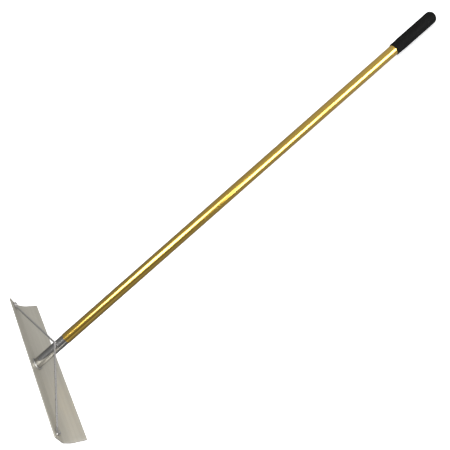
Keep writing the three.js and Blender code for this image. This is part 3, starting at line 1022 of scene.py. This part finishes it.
def studio_paper():
    """Pale seamless paper with a faint fibre. It glows a little, so that shadows stay faint."""
    return matt(
        "studio_paper",
        layered((even(3), 3, 1)),
        dark=(0.84, 0.84, 0.84),
        light=(0.88, 0.88, 0.88),
        wear=(even(50), 3),
        roughness=(0.85, 0.95),
        grain=(even(400), 4),
        depth=0.1 * MM,
        Specular_IOR_Level=0.1,
        Emission_Color=(1, 1, 1, 1),
        Emission_Strength=0.62,
    )


MATERIALS = {
    "blade_aluminium": blade_aluminium(),
    "sheared_aluminium": sheared_aluminium(),
    "polished_aluminium": polished_aluminium(),
    "weld_metal": weld_metal(),
    "gold_anodised_tube": gold_anodised(),
    "black_rubber": black_rubber(),
    "zinc_plated_steel": zinc_plated(),
    "rivet_aluminium": rivet_aluminium(),
}

# ---------------------------------------------------------------- assembly


def install(piece, node, slot):
    """Puts a finished piece in the place of its CAD node."""
    if not piece.data.materials:
        piece.data.materials.append(MATERIALS[slot])
    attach(piece, "root")
    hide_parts(node)


def make_fasteners():
    zinc = "zinc_plated_steel"
    for side in ("left", "right"):
        place = axis_placement(flange_point(side), FLANGE_NORMAL)
        bolt, nut = f"brace_bolt_{side}", f"brace_nut_{side}"
        install(make_bolt(f"flange_bolt_{side}", bolt, place), bolt, zinc)
        install(make_nut(f"flange_nut_{side}", nut, place), nut, zinc)
    for name, place in RIVET_PLACES.items():
        rivet = f"tube_rivet_{name}"
        install(make_rivet(f"rivet_{name}", rivet, place), rivet, "rivet_aluminium")


install(make_blade(), "blade", "blade_aluminium")
install(make_socket(), "socket", "polished_aluminium")
install(make_foot_weld(), "foot_weld", "polished_aluminium")
install(make_tube(), "handle_tube", "gold_anodised_tube")
install(make_grip(), "grip", "black_rubber")
install(make_rod(), "brace_rod", "zinc_plated_steel")
install(make_brace_weld("rod_weld_front", 1), "brace_weld_front", "polished_aluminium")
install(make_brace_weld("rod_weld_rear", -1), "brace_weld_rear", "polished_aluminium")
make_fasteners()

# ---------------------------------------------------------------- camera

CAMERA_PLACE = Vector((-0.97338, -0.59327, 1.00526))
CAMERA_DIRECTION = Vector((0.68253, 0.00233, -0.73085))
CAMERA_ROLL = math.radians(-42.70)
CAMERA_LENS = 41.158
CLIP_START = 10 * MM


def make_camera():
    data = bpy.data.cameras.new("camera")
    data.lens = CAMERA_LENS
    data.clip_start = CLIP_START
    camera = bpy.data.objects.new("camera", data)
    bpy.context.scene.collection.objects.link(camera)
    level = CAMERA_DIRECTION.to_track_quat("-Z", "Y").to_matrix().to_4x4()
    roll = Matrix.Rotation(CAMERA_ROLL, 4, "Z")
    camera.matrix_world = Matrix.Translation(CAMERA_PLACE) @ level @ roll
    bpy.context.scene.camera = camera


# ---------------------------------------------------------------- floor and light


FLOOR_RINGS = (0.05, 1, 3)  # radii of the rings in the flat part
FLOOR_FLAT, FLOOR_CURVE = 6, 2  # radius of the flat part, and of the curve beyond it
FLOOR_WALL = 4
FLOOR_STEPS = 96
FLOOR_CURVE_STEPS = 16
FLOOR_DROP = 0.1 * MM


def floor_profile():
    """(radius, height) pairs from the middle outwards and up the wall."""
    profile = [(radius, 0) for radius in FLOOR_RINGS]
    for a in spread(0, math.pi / 2, FLOOR_CURVE_STEPS):
        profile.append((FLOOR_FLAT + FLOOR_CURVE * math.sin(a), FLOOR_CURVE * (1 - math.cos(a))))
    return [*profile, (FLOOR_FLAT + FLOOR_CURVE, FLOOR_CURVE + FLOOR_WALL)]


def make_floor():
    """Seamless sweep: flat under the tool, curving up far behind it on every side."""
    profile = floor_profile()
    vertices = []
    for radius, height in profile:
        for i in range(FLOOR_STEPS):
            angle = 2 * math.pi * i / FLOOR_STEPS
            vertices.append((radius * math.cos(angle), radius * math.sin(angle), height))
    faces = ring_faces(len(profile), FLOOR_STEPS, False)[:-1]  # the top stays open
    mesh = new_mesh("floor", vertices, faces)
    mesh.flip_normals()
    mesh.shade_smooth()
    mesh.materials.append(studio_paper())
    floor = bpy.data.objects.new("floor", mesh)
    bpy.context.scene.collection.objects.link(floor)
    middle = (CAD_BOX[0] + CAD_BOX[1]) / 2
    floor.location = (middle.x, middle.y, CAD_BOX[0].z - FLOOR_DROP)
    floor.visible_glossy = False
    floor.visible_shadow = False


def soft_box(name, placement, width, length, radiance):
    """Rectangular light that shines along the local -Z axis of its placement."""
    data = bpy.data.lights.new(name, "AREA")
    data.shape = "RECTANGLE"
    data.size = width
    data.size_y = length
    data.energy = radiance * math.pi * width * length
    light = bpy.data.objects.new(name, data)
    bpy.context.scene.collection.objects.link(light)
    light.matrix_world = placement
    light.visible_camera = False
    return light


LIGHT_DISTANCE = 1.4
STRIP_RADIANCE = 10
OVERHEAD_PLACE = Vector((0, -0.6, 3))
OVERHEAD_SIZE = 3
OVERHEAD_RADIANCE = 1.6


def beside_handle(azimuth, behind_front):
    """Point beside the handle: an angle in degrees round it from +X over the top, and how far
    behind the tube's front end."""
    turn = math.radians(azimuth)
    outwards = Vector((math.cos(turn), 0, math.sin(turn)))
    return Vector((0, TUBE_FRONT - behind_front, 0)) + outwards * LIGHT_DISTANCE


def strip_light(name, start, end, width):
    """Long soft box between two points beside the handle, turned towards it. It is only seen in
    reflections and lights nothing else."""
    start, end = beside_handle(*start), beside_handle(*end)
    centre = (start + end) / 2
    along = (end - start).normalized()
    outwards = centre - Vector((0, centre.y, 0))
    outwards = (outwards - along * outwards.dot(along)).normalized()
    axes = Matrix((along.cross(outwards), along, outwards)).transposed().to_4x4()
    length = (end - start).length
    placement = HANDLE @ Matrix.Translation(centre) @ axes
    light = soft_box(name, placement, width, length, STRIP_RADIANCE)
    light.visible_diffuse = False


def make_lights():
    strip_light("blade_half_light", start=(103, -0.17), end=(136, 0.51), width=0.62)
    strip_light("middle_light", start=(155, 0.72), end=(157, 1.32), width=0.85)
    strip_light("grip_half_light", start=(154, 1.42), end=(155, 2.2), width=0.9)
    above = Matrix.Translation(OVERHEAD_PLACE)
    overhead = soft_box("overhead", above, OVERHEAD_SIZE, OVERHEAD_SIZE, OVERHEAD_RADIANCE)
    overhead.visible_glossy = False


ROOM_LEVEL = 0.40
ROOM_GRADIENT = Vector((-0.10, -0.35, 0.10))  # lighter towards -X, the grip and the ceiling
DARK_SIDE = Vector((-0.96, -0.05, 0.25)).normalized()  # low on the -X side
DARK_SIDE_DROP = -0.28
DARK_SIDE_RANGE = (0.7, 1)  # cosine to the direction, where the change begins and where it is full
CARD_SIDE = Vector((-0.93, 0.35, -0.15)).normalized()  # low on the -X side, past the blade
CARD_RISE = 0.35
CARD_RANGE = (0.965, 1)
BACK_RISE = 0.45  # towards +Y, so that the blade's back is lit
BACK_RANGE = (0.4, 0.85)


def make_world():
    """Plain grey room with a darker patch low on one side, a lighter card past the blade and a
    lighter wall behind the blade."""
    world = bpy.data.worlds.new("room")
    bpy.context.scene.world = world
    world.use_nodes = True
    tree = world.node_tree
    direction = add_node(tree, "ShaderNodeTexCoord").outputs["Generated"]

    def towards(vector):
        inputs = {0: direction, 1: vector}
        node = add_node(tree, "ShaderNodeVectorMath", inputs, operation="DOT_PRODUCT")
        return node.outputs["Value"]

    level = add_up(tree, towards(ROOM_GRADIENT), ROOM_LEVEL)
    patch = remap(tree, towards(DARK_SIDE), 0, DARK_SIDE_DROP, *DARK_SIDE_RANGE)
    card = remap(tree, towards(CARD_SIDE), 0, CARD_RISE, *CARD_RANGE)
    back = remap(tree, towards(AXIS_Y), 0, BACK_RISE, *BACK_RANGE)
    total = add_up(tree, level, add_up(tree, patch, card), back)
    tree.links.new(total, tree.nodes["Background"].inputs["Color"])


make_camera()
make_floor()
make_lights()
make_world()
bpy.context.scene.view_settings.view_transform = "Standard"
